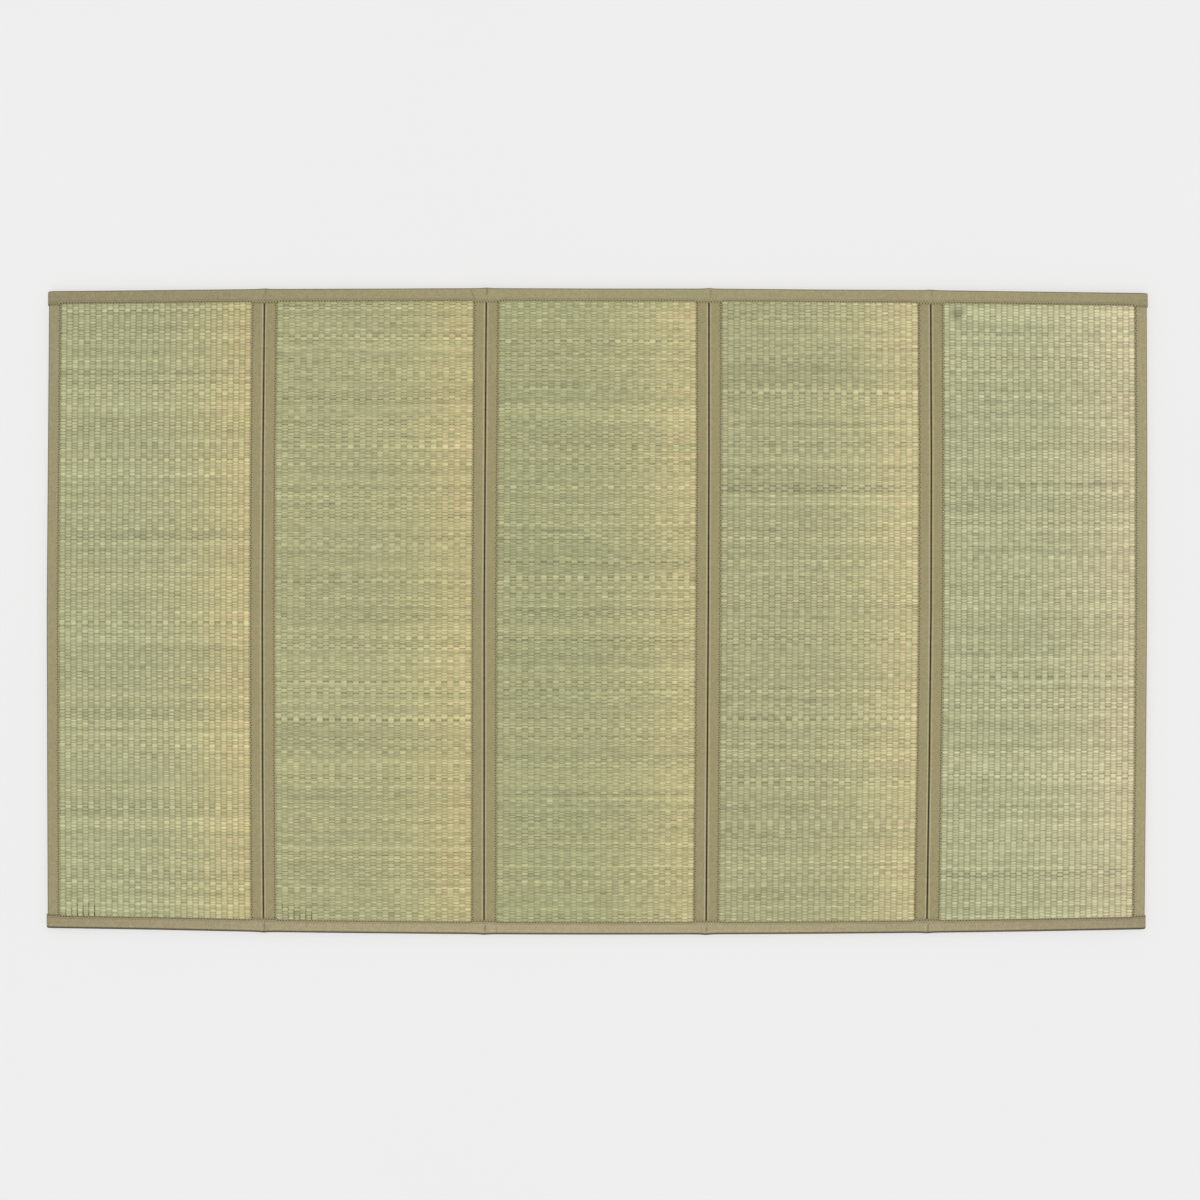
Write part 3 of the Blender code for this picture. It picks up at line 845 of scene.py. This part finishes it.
# %% A strip laid over an edge
def tape_piece(name, tape, along, openness=None, shade=None):
    """A strip of cloth on this tape's fold, with its map in metres: U across the strip and V along it."""
    parts, across = tape.parts()
    openness = np.ones(len(along)) if openness is None else np.array(openness)
    bpy.ops.object.select_all(action="DESELECT")
    bpy.ops.mesh.primitive_grid_add(x_subdivisions=len(parts) - 1, y_subdivisions=len(along) - 1, size=1)
    piece = bpy.context.object
    piece.name = piece.data.name = name
    mesh = piece.data
    flat = np.empty(len(mesh.vertices) * 3)
    mesh.vertices.foreach_get("co", flat)
    flat = flat.reshape(-1, 3) + 0.5
    i = np.rint(flat[:, 0] * (len(parts) - 1)).astype(int)
    j = np.rint(flat[:, 1] * (len(along) - 1)).astype(int)
    laid = tape.place(parts[i], along[j], 0.0, openness[j])
    mesh.vertices.foreach_set("co", laid.ravel())
    mesh.uv_layers.remove(mesh.uv_layers[0])
    add_uv(piece, "cloth", np.stack([across[i], along[j]], 1))
    if shade is not None:
        values = shade(parts[i], along[j])
        mesh.attributes.new("crease", "FLOAT", "POINT").data.foreach_set("value", values.astype(np.float32))
    mesh.update()
    on_top = [face for face in mesh.polygons if face.center.z > tape.top(0) - 1.2 * MM]
    upward = sum(face.normal.z * face.area for face in on_top)
    if upward < 0:
        mesh.flip_normals()
    wall = piece.modifiers.new("cloth", "SOLIDIFY")
    wall.thickness = CLOTH
    wall.offset = -1
    wall.use_even_offset = True
    bpy.ops.object.modifier_apply(modifier=wall.name)
    piece.data.shade_smooth()
    bpy.ops.object.shade_smooth_by_angle(angle=radians(50))
    return piece


# %% The ten side tapes
STATION = 9 * MM  # from one row of points to the next
END_STEP = 3 * MM  # and near the tape's ends
PRESSED = 30 * MM  # how far that reaches
TIP = 0.4 * MM
BULGE = 0.45 * MM  # the folds on both sides of a slit swell towards each other
OUTERMOST = {"side_binding_1_left": "first", f"side_binding_{PANELS}_right": "last"}


def side_tape(hand, node):
    return Tape(node, Y, INTO_PANEL[hand], SIDE_FOLD[node], SIDE_EDGE[node], outline(node, Y, Z, 1, 4 * MM),
                outline(node, Y, Z, -1, 4 * MM), bulge=0.0 if node in OUTERMOST else BULGE)


side_tapes = {}
pieces = {}
for number in range(1, PANELS + 1):
    for hand, node in bindings(number).items():
        tape = side_tapes[node] = side_tape(hand, node)
        inner = np.arange(tape.start + PRESSED, tape.end - PRESSED, STATION)
        ends = np.arange(TIP, PRESSED, END_STEP)
        along = np.concatenate([tape.start + ends, inner, tape.end - ends[::-1]])
        pieces[node] = tape_piece(f"tape_{number}_{hand}", tape, along)
print("side tapes:", len(side_tapes), "of", len(pieces["side_binding_1_left"].data.polygons), "faces")

# %% [markdown]
# The end tapes carry the mat's main creases. Each hinge has one where the tape bridges a slit, and the cloth
# is gathered into small puckers beside it. A few more creases run where the tape passes over the thicker edge
# of a side tape. They are placed from the photograph: a soft trough each, with its own lean, length and
# depth.

# %% Creases and sizes of the end tapes
CREASE_COLUMNS = ("end", "pixel", "lean", "start", "stop", "half_width", "deep")
CREASES = (  # photograph's column at the fold, mm sideways for each mm inward, mm in from the fold, and mm
    ("far", 265.6, 0.00, 0.5, 9.0, 0.9, 0.35),
    ("far", 470.2, 0.42, 1.5, 18.0, 0.9, 0.55),
    ("far", 487.0, -0.04, 0.5, 11.0, 0.9, 0.55),
    ("far", 711.2, -0.06, 1.5, 11.0, 0.9, 0.50),
    ("far", 931.8, 0.05, 1.5, 9.0, 0.9, 0.55),
    ("near", 263.6, 0.14, 0.5, 14.0, 1.0, 0.60),
    ("near", 268.0, -0.05, 1.0, 8.0, 0.8, 0.25),
    ("near", 484.2, 0.12, 2.0, 15.0, 1.2, 0.70),
    ("near", 496.4, 0.02, 1.0, 13.0, 0.8, 0.35),
    ("near", 501.6, -0.03, 3.0, 10.0, 0.7, 0.25),
    ("near", 700.6, 0.10, 1.5, 11.0, 0.7, 0.30),
    ("near", 705.6, 0.14, 2.0, 13.0, 1.1, 0.65),
    ("near", 927.6, 0.04, 1.5, 14.0, 1.0, 0.65),
)
PUCKER_RUN = 13 * MM  # on both sides of a hinge
PUCKER_PITCH = 4.0 * MM  # as far apart as the stitches that gather the cloth
PUCKER = 0.30 * MM
TIP_ROWS = ((0.0, 0.03), (0.0, 0.74), (0.5, 0.92), (1.5, 1.0))  # mm from the tip, and how open the fold is
END_STATION = 8 * MM
FINE_STATION = 0.8 * MM
FINE_BY_HINGE, FINE_BY_CREASE = 16 * MM, 4 * MM  # how far the close rows reach on each side
END_WIDTH = 18 * MM
PLAIN_END = 6 * MM  # from a tape's tip to its first plain row
HINGE_Y = {"near": -0.42, "far": 0.42}  # the slits are measured here, close to the end tapes
hinge_x = {
    end: [float(SIDE_FOLD[f"side_binding_{n}_right"](y) + SIDE_FOLD[f"side_binding_{n + 1}_left"](y)) / 2
          for n in range(1, PANELS)]
    for end, y in HINGE_Y.items()
}
SEW_STEP = {"far": 1.9 * MM, "near": 1.4 * MM}  # how much further in the sewn edge lies on side tapes
SEW_STEP_HALF = 16.5 * MM
SEW_STEP_SOFT = 0.7 * MM
SEW_STEP_LIFT = 0.35 * MM  # it climbs onto the side tapes there


# %% Where an end tape lies on side tapes
def on_side_tapes(end, at):
    """1 where an end tape lies on side tapes, 0 where it lies on rush."""
    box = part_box(f"end_binding_{end}")
    middles = np.array([box[0].x, *hinge_x[end], box[1].x])
    away = np.abs(np.asarray(at)[..., None] - middles).min(-1)
    return 1 / (1 + np.exp((away - SEW_STEP_HALF) / SEW_STEP_SOFT))


def sewn_edge(end, at):
    """y of an end tape's sewn edge, a little further in where it lies on side tapes."""
    return END_EDGE[end](at) + INTO_MAT[end] * SEW_STEP[end] * on_side_tapes(end, at)


# %% Creases and puckers
def crease_list(end):
    """This end's creases as dictionaries, with x in metres."""
    rows = [dict(zip(CREASE_COLUMNS, row)) for row in CREASES if row[0] == end]
    return [{**row, "x": pixel_x(row["pixel"])} for row in rows]


def trough(row, at, depth):
    """1 in the middle of a crease, 0 outside it."""
    away = (at - row["x"] - row["lean"] * depth) / (row["half_width"] * MM)
    fade = np.clip((depth / MM - row["start"]) / 2, 0, 1) * np.clip((row["stop"] - depth / MM) / 3, 0, 1)
    return np.exp(-(away**2)) * fade


def end_relief(end):
    """Lift of an end tape's cloth: troughs along the creases, and puckers at the hinges."""
    rows = crease_list(end)

    def relief(part, at, depth, width):
        upper = part < 2
        lift = -sum(row["deep"] * MM * trough(row, at, depth) for row in rows) * upper
        for x in hinge_x[end]:
            near_hinge = np.exp(-(((at - x) / PUCKER_RUN) ** 4))
            fan = (at - x) * (1 + 0.02 * (width - depth) / MM)
            gather = np.clip(1 - (width - depth) / (9 * MM), 0, 1)
            lift = lift + PUCKER * near_hinge * gather * np.cos(2 * pi * fan / PUCKER_PITCH)
        climb = SEW_STEP_LIFT * on_side_tapes(end, at) * np.clip(1 - (width - depth) / (5 * MM), 0, 1) * upper
        return lift + climb

    return relief


def end_shade(tape, end):
    """How deep in a crease or pucker each point lies, from 0 to 1, for the painted shade of the finish."""
    rows = crease_list(end)

    def shade(part, at):
        width = np.abs(tape.edge(at) - tape.fold(at))
        depth = fold_section(part, width, tape.top(at) - tape.low(at), 0)[0]
        deep = sum(row["deep"] / 0.6 * trough(row, at, depth) for row in rows) * (part < 2)
        return np.clip(deep - end_relief(end)(part, at, depth, width) / MM * 0.8, 0, 1)

    return shade


# %% Laying the two end tapes
end_tapes = {}
for end, inward in INTO_MAT.items():
    node = f"end_binding_{end}"
    tape = end_tapes[node] = Tape(node, X, inward, END_FOLD[end], partial(sewn_edge, end),
                                  outline(node, X, Z, 1, 1 * MM, 1), outline(node, X, Z, -1), end_relief(end))
    tips = np.array([row[0] * MM for row in TIP_ROWS])
    fine = [np.arange(x - FINE_BY_HINGE, x + FINE_BY_HINGE, FINE_STATION) for x in hinge_x[end]]
    for row in crease_list(end):
        reach = FINE_BY_CREASE + END_WIDTH * abs(row["lean"])
        fine.append(np.arange(row["x"] - FINE_BY_CREASE, row["x"] + reach, FINE_STATION))
    base = np.arange(tape.start + PLAIN_END, tape.end - PLAIN_END, END_STATION)
    inner = np.unique(np.round(np.concatenate([base, *fine]) / FINE_STATION)) * FINE_STATION
    along = np.concatenate([tape.start + tips, inner, tape.end - tips[::-1]])
    openness = [row[1] for row in TIP_ROWS] + [1.0] * len(inner) + [row[1] for row in TIP_ROWS[::-1]]
    pieces[node] = tape_piece(f"end_tape_{end}", tape, along, openness, end_shade(tape, end))
    print(f"end tape {end}: {len(along)} rows,", len(pieces[node].data.polygons), "faces")

# %% [markdown]
# The tape is a plain tight weave of dull polyester, olive khaki and matt, with a faint twill that shows best
# beside the seam. Needle holes stand in a row on the cloth, drawn as painted shade, and a painted highlight
# lies along the rounded fold, strongest beside each slit. Painted shade also darkens the sewn edge, the
# fold's turned-down nose and the creases. The real threads lie about 0.4 mm apart, too fine to show here, so
# the twill is drawn 1.9 mm apart.


# %% Settings of the tape finish
TAPE_COLUMNS = ("cloth", "light", "fold_highlight", "turn", "nose", "nose_shade", "total", "seam", "seam_shade",
                "ends", "left")
TAPE_LOOKS = {  # colours of the cloth and of its painted highlight; painted highlight on the fold and painted shade on its nose, as strengths and places in mm; width; seam and its painted shade; darker ends
    "side": ("9A916C", "B9B08B", 0.90, 14.8, 15.8, 0.55, 40.4, "side", 0.08, 0.00, 0.00),
    "first": ("9B9370", "A49C77", 0.30, 13.2, 14.6, 0.45, 40.4, "side", 0.08, 0.00, 0.00),
    "last": ("A29975", "ACA37E", 0.30, 13.2, 14.6, 0.45, 40.4, "side", 0.08, 0.00, 0.00),
    "far": ("9F9673", "A9A07A", 0.20, 15.0, 16.0, 0.55, 43.7, "end", 0.06, 0.14, 0.05),
    "near": ("AA9F7D", "B6AB88", 0.30, 13.0, 14.2, 0.68, 43.7, "end", 0.20, 0.21, 0.00),
}
HALF_LENGTH = 0.75  # of an end tape
TWILL_PITCH = 1.9 * MM
TAPE_NOISES = (  # steps per metre across and along the tape, detail, and how much it changes the lightness
    (500.0, 9.0, 2.0, 0.12),
    (420.0, 420.0, 2.0, 0.60),
    (150.0, 130.0, 3.0, 0.30),
    (20.0, 14.0, 2.0, 0.14),
)


# %% Needle holes
def needle_holes(node, from_edge, along, pitch, row, shift, radius):
    """A row of needle holes, as a mask for their painted shade: 1 in each and 0 away from it. shift is 0.5
    for the zigzag's outer points.
    """
    step = node("Math", [along, 1 / pitch, shift], operation="MULTIPLY_ADD")
    step = node("Math", [step], operation="FRACT")
    aside = node("Math", [step, pitch, -pitch / 2], operation="MULTIPLY_ADD")
    inward = node("Math", [from_edge, row], operation="SUBTRACT")
    away = node("VectorMath", [node("CombineXYZ", [aside, inward])], operation="LENGTH").outputs["Value"]
    return node("MapRange", {"Value": away, "From Min": 0.5 * radius, "From Max": radius,
                             "To Min": 1.0, "To Max": 0.0})


# %% The tape finish
def tape_finish(where, creased):
    """Woven polyester tape, dull and matt: fine twill, with a painted highlight along the fold and painted
    shade at the sewn edge, on the nose, in the needle holes and in creases.
    """
    look = dict(zip(TAPE_COLUMNS, TAPE_LOOKS[where]))
    finish, tree, shader = new_finish(f"woven polyester tape, {where}", 0.86, 0.2)
    node = partial(add, tree)
    cloth = node("SeparateXYZ", [node("UVMap", uv_map="cloth")]).outputs
    across, along = cloth["X"], cloth["Y"]

    # A twill is two sets of slanting lines, drawn coarser than the real threads
    lines = []
    for slant in (0.9, -0.9):
        place = node("Math", [across, slant, along], operation="MULTIPLY_ADD")
        place = node("Math", [place, 2 * pi / TWILL_PITCH], operation="MULTIPLY")
        lines.append(node("Math", [place], operation="SINE"))
    twill = node("Math", lines, operation="MULTIPLY")
    light = node("Math", [twill, 0.05, 1.0], operation="MULTIPLY_ADD")
    for x, y, detail, strength in TAPE_NOISES:
        shade = cloud(node, across, along, (x, y), detail)
        light = node("Math", [shade, strength, light], operation="MULTIPLY_ADD")
    aside = node("Math", [along, 1 / HALF_LENGTH], operation="MULTIPLY")
    light = node("Math", [aside, look["left"], light], operation="MULTIPLY_ADD")
    aside = node("Math", [aside, aside], operation="MULTIPLY")
    light = node("Math", [aside, -look["ends"], light], operation="MULTIPLY_ADD")

    # Painted shade at the sewn edge, on the fold's nose, in the needle holes and in creases
    other_edge = node("Math", [look["total"] * MM, across], operation="SUBTRACT")
    from_edge = node("Math", [across, other_edge], operation="MINIMUM")
    stitches = dict(zip(SEAM_COLUMNS, SEAMS[look["seam"]]))
    nose = look["nose"] * MM
    darker = [node("MapRange", {"Value": from_edge, "From Min": 1.8 * MM, "From Max": 2.6 * MM,
                                "To Min": look["seam_shade"], "To Max": 0.0}),
              node("MapRange", {"Value": from_edge, "From Min": nose, "From Max": nose + 1.6 * MM,
                                "To Max": look["nose_shade"]}, interpolation_type="SMOOTHSTEP")]
    for row, shift, dark in (("outer", 0.5, "outer_shade"), ("inner", 0.0, "inner_shade")):
        holes = needle_holes(node, from_edge, along, stitches["pitch"] * MM, stitches[row] * MM, shift, HOLE)
        darker.append(node("Math", [holes, stitches[dark]], operation="MULTIPLY"))
    if creased:
        # painted shade in the creases and puckers, from the crease attribute
        crease = node("Attribute", attribute_name="crease").outputs["Fac"]
        darker.append(node("Math", [crease, 0.32], operation="MULTIPLY"))
    light = darkened(node, light, darker)

    # A painted highlight along the fold, where it turns down
    aside = node("Math", [across, look["turn"] * MM], operation="SUBTRACT")
    aside = node("Math", [aside], operation="ABSOLUTE")
    fold_highlight = node("MapRange", {"Value": aside, "From Min": 0.2 * MM, "From Max": 1.4 * MM,
                             "To Min": look["fold_highlight"], "To Max": 0.0}, interpolation_type="SMOOTHSTEP")
    cloth, highlight_colour = linear(look["cloth"]), linear(look["light"])
    colour = node("Mix", {"Factor": fold_highlight, "A": cloth, "B": highlight_colour}, data_type="RGBA")
    colour = node("VectorMath", {0: colour, "Scale": light}, operation="SCALE")
    tree.links.new(colour.outputs["Vector"], shader.inputs["Base Color"])
    bump = node("Bump", {"Height": light, "Strength": 0.5, "Distance": 0.0002})
    tree.links.new(bump.outputs["Normal"], shader.inputs["Normal"])
    return finish


# %% The finish of each tape
tape_cloths = {where: tape_finish(where, where in INTO_MAT) for where in TAPE_LOOKS}
for node, piece in pieces.items():
    where = node.split("_")[-1] if node in end_tapes else OUTERMOST.get(node, "side")
    piece.data.materials.append(tape_cloths[where])
print("tape finishes:", [finish.name for finish in tape_cloths.values()])

# %% [markdown]
# Each tape is sewn with a zigzag stitch that goes through both of its legs and the rush between them. The
# needle goes in just inside the tape's edge and again a little further in, so short slanting bars lie
# along the edge, with a dark hole at both ends of each. It is a narrow, long stitch on the side tapes and
# a wide one on the end tapes. The thread is a thin tube with three sides, one tube for each row of
# stitches.

# %% The path of a zigzag
THREAD = 0.36 * MM  # radius
STITCH_STEPS = {True: (0.0, 0.36, 0.70, 1.0), False: (0.0, 1.0)}  # shares of a bar, on the upper face or not
STITCH_LIFTS = {True: (-0.60, 0.24, 0.34, -0.50), False: (-0.10, -0.10)}  # mm off the cloth


def stitch_path(tape, start, end, upper):
    """Points along a zigzag thread, from one end of a seam to the other."""
    stitches = dict(zip(SEAM_COLUMNS, SEAMS["side" if tape.axis == Y else "end"]))
    pitch, outer, inner = [stitches[name] * MM for name in ("pitch", "outer", "inner")]
    shares, lifts = np.array(STITCH_STEPS[upper]), np.array(STITCH_LIFTS[upper])
    there, back = slice(None), slice(-2, 0, -1)
    stitch = np.concatenate([shares[there] / 2, 1 - shares[back] / 2])
    inward = np.concatenate([shares[there], shares[back]])
    lift = np.concatenate([lifts[there], lifts[back]])
    steps = np.arange(np.floor(start / pitch), np.ceil(end / pitch))  # whole steps, as in the finishes
    at = ((steps[:, None] + stitch) * pitch).ravel()
    from_edge = np.tile(outer + inward * (inner - outer), len(steps))
    lift = np.tile(lift, len(steps)) * MM
    kept = (at > start) & (at < end)
    at, from_edge, lift = at[kept], from_edge[kept], lift[kept]
    return tape.place(tape.part_of_leg(from_edge, at, upper), at, lift)


# %% The thread as a tube
def thread_tube(path, upper):
    """A closed three-sided tube along a path that lies nearly flat: its points and triangles."""
    ahead = np.gradient(path, axis=0)
    sideways = np.stack([-ahead[:, 1], ahead[:, 0], np.zeros(len(path))], 1)
    sideways /= np.linalg.norm(sideways, axis=1)[:, None] + 1e-12
    up = np.array([0, 0, 1.0 if upper else -1.0])
    flat = 1.0 if upper else 0.3
    rings = np.stack([path + up * THREAD * flat, path + sideways * THREAD - up * THREAD * 0.4 * flat,
                      path - sideways * THREAD - up * THREAD * 0.4 * flat], 1)
    count = len(path)
    ring = np.arange(count - 1)[:, None] * 3
    faces = []
    for k in range(3):
        a, b = ring + k, ring + (k + 1) % 3
        faces += [np.hstack([a, b, b + 3]), np.hstack([a, b + 3, a + 3])]
    last = 3 * (count - 1)
    faces.append(np.array([[0, 2, 1], [last, last + 1, last + 2]]))
    return rings.reshape(-1, 3), np.concatenate(faces)


def seam(name, tape, start, end):
    """The zigzag of one tape, on its upper and its lower face, as one mesh."""
    upper, upper_faces = thread_tube(stitch_path(tape, start, end, True), True)
    lower, lower_faces = thread_tube(stitch_path(tape, start, end, False), False)
    points = np.concatenate([upper, lower])
    points[:, 2] = np.maximum(points[:, 2], 0.02 * MM)
    return closed_piece(name, points, np.concatenate([upper_faces, lower_faces + len(upper)]))


# %% The thread's finish, and the seams
def thread_finish():
    """Spun polyester sewing thread, a little lighter than the tape: matt, with a twist too fine to show."""
    finish, tree, shader = new_finish("spun polyester thread", 0.8, 0.25)
    place = add(tree, "TexCoord").outputs["Object"]
    twist = add(tree, "TexNoise", {"Vector": place, "Scale": 900.0, "Detail": 1.0})
    dark, pale = linear("A69C76"), linear("C4BA94")
    colour = add(tree, "Mix", {"Factor": twist, "A": dark, "B": pale}, data_type="RGBA")
    tree.links.new(colour.outputs["Result"], shader.inputs["Base Color"])
    return finish


SIDE_CLEAR, END_CLEAR = 17.0 * MM, 2.0 * MM  # a side tape's seam shows between the end tapes only
thread = thread_finish()
seams = {}
for node, tape in {**side_tapes, **end_tapes}.items():
    clear = SIDE_CLEAR if node in side_tapes else END_CLEAR
    seams[node] = seam("seam_" + pieces[node].name, tape, tape.start + clear, tape.end - clear)
    seams[node].data.materials.append(thread)
print("seams:", len(seams), "with", sum(len(piece.data.polygons) for piece in seams.values()), "triangles")

# %% [markdown]
# Last, the imported solids are hidden, and every new piece is set on one body, since the mat has no rigid
# joint.

# %% One body for all the pieces
for number, piece in panels.items():
    node = f"panel_{number}"
    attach(piece, "root")
    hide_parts(node)
for node, tape in {**side_tapes, **end_tapes}.items():
    piece, stitches = pieces[node], seams[node]
    for each in (piece, stitches):
        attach(each, "root")
    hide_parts(node)
    float(tape.parts()[1][-1])
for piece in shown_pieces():
    piece.data.calc_loop_triangles()
